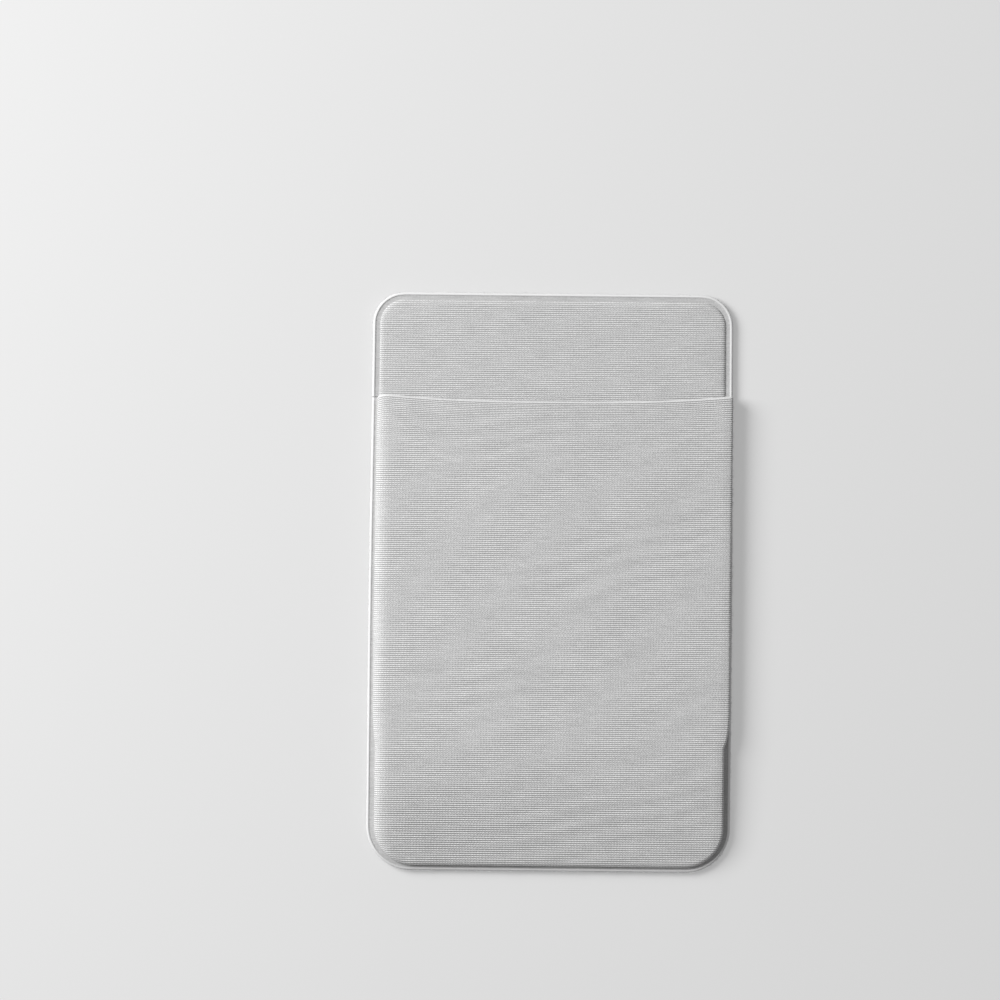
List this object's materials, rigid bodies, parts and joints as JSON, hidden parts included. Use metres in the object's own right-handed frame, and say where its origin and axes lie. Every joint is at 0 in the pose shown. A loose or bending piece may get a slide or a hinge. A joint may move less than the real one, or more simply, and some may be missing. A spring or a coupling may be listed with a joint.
{
  "type": "stick on phone card holder",
  "caption": "Flat adhesive card pocket for the back of a phone: a stretch-knit front folded at its mouth and pressed at its edge onto a padded knit panel.",
  "frame": {"origin": "the middle of the adhesive's sticking face, on the surface that the holder lies on or is stuck to", "axes": "+Z out of the pocket's front, +Y along the holder towards the pocket's mouth, +X across it to the right of someone who looks at the front with the mouth up"},
  "size_m": [0.0574, 0.091, 0.0029],
  "materials": {
    "adhesive_film": "clear double-sided adhesive film, slightly glossy",
    "panel_knit": "light grey knit laminated to thin foam, matt",
    "pocket_knit": "light grey stretch knit with fine ribs, matt"
  },
  "bodies": {
    "root": {"adhesive_sheet": "adhesive_film", "back_panel": "panel_knit", "front_pocket": "pocket_knit"}
  },
  "joints": []
}
